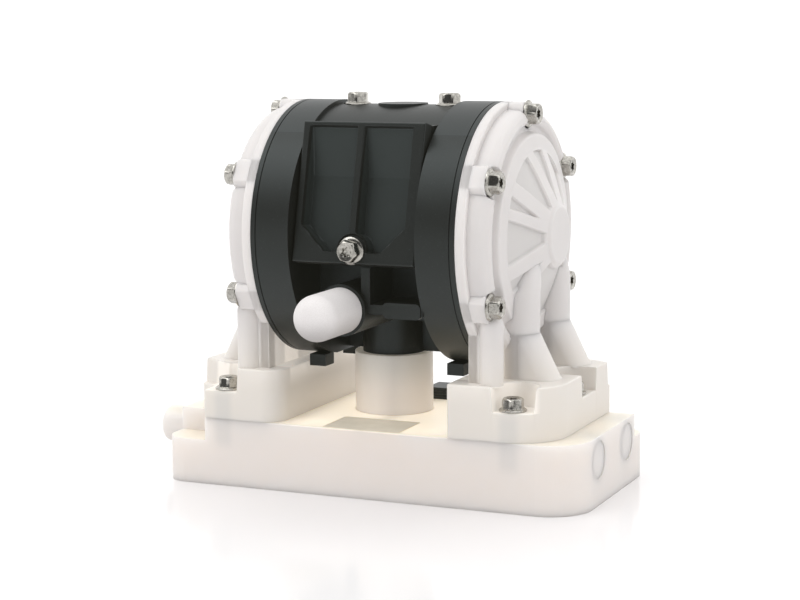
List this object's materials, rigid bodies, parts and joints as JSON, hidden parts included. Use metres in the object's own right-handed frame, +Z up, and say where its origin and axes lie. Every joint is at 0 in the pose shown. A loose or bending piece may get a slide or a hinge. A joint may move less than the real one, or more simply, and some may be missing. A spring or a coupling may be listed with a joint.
{
  "type": "air operated diaphragm pump",
  "caption": "Small plastic double diaphragm pump driven by compressed air, with clamped round end caps on a flat manifold base, check balls and a silencer.",
  "frame": {"origin": "on the underside of the base manifold, below the middle of the pump axis", "axes": "+X along the pump axis to the right cap, +Y to the rear, +Z up"},
  "size_m": [0.2425, 0.1623, 0.2001],
  "materials": {
    "natural_plastic": "natural white translucent plastic, satin moulded skin",
    "natural_plastic_warm": "natural cream translucent plastic, satin moulded skin",
    "black_plastic": "black glass filled plastic with a fine grain",
    "muffler_plastic": "porous white plastic",
    "stainless": "stainless steel, bright rolled finish",
    "rod_steel": "ground stainless steel",
    "seal_rubber": "black rubber",
    "diaphragm_rubber": "fabric reinforced rubber",
    "bearing_plastic": "self lubricating bearing plastic",
    "ball_plastic": "smooth white plastic ball"
  },
  "bodies": {
    "root": {"base_manifold": "natural_plastic_warm", "motor_body": "black_plastic", "fluid_cap_right": "natural_plastic", "fluid_cap_left": "natural_plastic", "valve_cover": "black_plastic", "cover_gasket": "seal_rubber", "cover_screw": "stainless", "muffler": "muffler_plastic", "top_plug": "black_plastic", "top_screws": "stainless", "cap_screws_right": "stainless", "cap_screws_left": "stainless", "foot_screws": "stainless", "rear_port_plug": "black_plastic", "end_plugs": "natural_plastic_warm", "diaphragm_right": "diaphragm_rubber", "diaphragm_left": "diaphragm_rubber", "rod_bushes": "bearing_plastic", "rod_seals": "seal_rubber", "pilot_bushes": "bearing_plastic", "valve_sleeve": "bearing_plastic", "ball_seats": "natural_plastic", "ball_guides": "natural_plastic", "cartridge_seals": "seal_rubber"},
    "rod": {"diaphragm_rod": "rod_steel", "air_plate_right": "black_plastic", "air_plate_left": "black_plastic", "fluid_plate_right": "natural_plastic", "fluid_plate_left": "natural_plastic"},
    "pilot": {"pilot_rod": "rod_steel"},
    "spool": {"valve_spool": "rod_steel"},
    "inlet_ball_right_body": {"inlet_ball_right": "ball_plastic"},
    "inlet_ball_left_body": {"inlet_ball_left": "ball_plastic"},
    "outlet_ball_right_body": {"outlet_ball_right": "ball_plastic"},
    "outlet_ball_left_body": {"outlet_ball_left": "ball_plastic"}
  },
  "joints": [
    {"name": "rod_slide", "type": "slide", "parent": "root", "child": "rod", "axis": [1, 0, 0], "range_m": [-0.005, 0.005], "deforming": ["diaphragm_right", "diaphragm_left"]},
    {"name": "pilot_slide", "type": "slide", "parent": "root", "child": "pilot", "axis": [1, 0, 0], "range_m": [-0.0025, 0.0025]},
    {"name": "spool_shift", "type": "slide", "parent": "root", "child": "spool", "axis": [1, 0, 0], "range_m": [-0.003, 0.003]},
    {"name": "inlet_ball_right_lift", "type": "slide", "parent": "root", "child": "inlet_ball_right_body", "axis": [0, 0, 1], "range_m": [0, 0.0035]},
    {"name": "inlet_ball_left_lift", "type": "slide", "parent": "root", "child": "inlet_ball_left_body", "axis": [0, 0, 1], "range_m": [0, 0.0035]},
    {"name": "outlet_ball_right_lift", "type": "slide", "parent": "root", "child": "outlet_ball_right_body", "axis": [0, 0, 1], "range_m": [0, 0.0035]},
    {"name": "outlet_ball_left_lift", "type": "slide", "parent": "root", "child": "outlet_ball_left_body", "axis": [0, 0, 1], "range_m": [0, 0.0035]}
  ],
  "couplings": [
    {"joint": "pilot_slide", "follows": "rod_slide", "ratio": 0.5}
  ]
}
